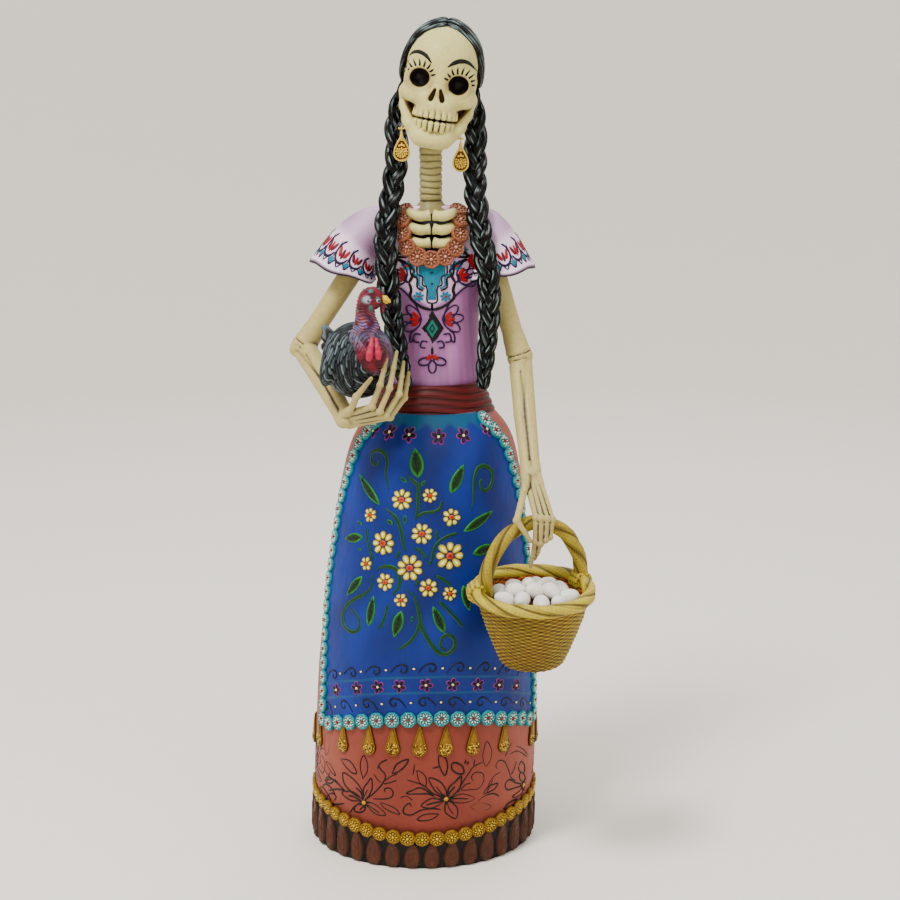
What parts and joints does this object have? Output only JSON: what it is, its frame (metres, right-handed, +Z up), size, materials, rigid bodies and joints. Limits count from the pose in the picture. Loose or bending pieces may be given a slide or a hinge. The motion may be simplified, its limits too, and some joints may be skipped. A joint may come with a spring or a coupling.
{
  "type": "catrina figure",
  "caption": "Standing papier-mache skeleton woman in a long skirt and apron, cradling a turkey and carrying a hanging egg basket.",
  "frame": {"origin": "centre of the round base where it rests on the shelf", "axes": "+Z up, the figure faces -Y, +X towards her own left hand, which carries the basket"},
  "size_m": [0.2164, 0.2317, 0.6092],
  "materials": {
    "bone_paint": "matte cream paint with a brown wash",
    "tooth_paint": "satin cream paint",
    "chest_black": "matte black paint",
    "skirt_paint": "matte terracotta paint with fine black line drawing",
    "apron_paint": "satin cobalt paint with painted flowers",
    "turquoise_lace": "painted lace relief",
    "gold_trim": "gold paint on a grainy relief",
    "hem_brown": "matte brown paint",
    "sash_paint": "satin dark red paint",
    "blouse_paint": "matte lilac paint with painted embroidery",
    "copper_lace": "copper paint on lace relief",
    "hair_paint": "glossy black paint",
    "turkey_feathers": "satin charcoal paint",
    "turkey_red": "satin red paint with blue and white touches",
    "beak_paint": "satin yellow paint",
    "earring_gold": "granulated gold",
    "basket_straw": "woven relief in straw paint",
    "rope_straw": "twisted relief in yellow-green paint",
    "egg_white": "satin white paint",
    "raw_wood": "bare softwood",
    "iron_wire": "dull annealed wire"
  },
  "bodies": {
    "figure": {"base_board": "raw_wood", "centre_post": "raw_wood", "arm_wire": "iron_wire", "neck_wire": "iron_wire", "skirt_shell": "skirt_paint", "hem_band": "hem_brown", "hem_petals": "hem_brown", "hem_rosettes": "gold_trim", "skirt_drops": "gold_trim", "apron_panel": "apron_paint", "apron_lace_left": "turquoise_lace", "apron_lace_right": "turquoise_lace", "apron_lace_bottom": "turquoise_lace", "waist_sash": "sash_paint", "bodice": "blouse_paint", "sleeve_left": "blouse_paint", "sleeve_right": "blouse_paint", "collar_lace": "copper_lace", "chest_core": "chest_black", "ribs_left": "bone_paint", "ribs_right": "bone_paint", "neck_bones": "bone_paint", "skull": "bone_paint", "jaw": "bone_paint", "upper_teeth": "tooth_paint", "lower_teeth": "tooth_paint", "hair_cap": "hair_paint", "braid_left": "hair_paint", "braid_right": "hair_paint", "upper_arm_left": "bone_paint", "forearm_left": "bone_paint", "palm_left": "bone_paint", "fingers_left": "bone_paint", "upper_arm_right": "bone_paint", "forearm_right": "bone_paint", "palm_right": "bone_paint", "fingers_right": "bone_paint", "turkey_body": "turkey_feathers", "turkey_wings": "turkey_feathers", "turkey_tail": "turkey_feathers", "turkey_neck": "turkey_red", "turkey_beak": "beak_paint", "turkey_breast": "turkey_red", "turkey_wattle": "turkey_red", "earring_pin_left": "earring_gold", "earring_pin_right": "earring_gold"},
    "basket": {"basket_shell": "basket_straw", "basket_rim": "rope_straw", "basket_handle": "rope_straw", "eggs": "egg_white"},
    "earring_left_drop": {"earring_left": "earring_gold"},
    "earring_right_drop": {"earring_right": "earring_gold"}
  },
  "joints": [
    {"name": "basket_swing", "type": "hinge", "parent": "figure", "child": "basket", "pos_m": [0.0797, -0.09967, 0.26406], "axis": [-0.9511, -0.3067, -0.0377], "range_deg": [-3, 25]},
    {"name": "earring_left_swing", "type": "hinge", "parent": "figure", "child": "earring_left_drop", "pos_m": [0.0284, -0.017, 0.525], "axis": [-1, 0, 0], "range_deg": [-3, 30]},
    {"name": "earring_right_swing", "type": "hinge", "parent": "figure", "child": "earring_right_drop", "pos_m": [-0.0136, -0.017, 0.5324], "axis": [-1, 0, 0], "range_deg": [-3, 30]}
  ]
}
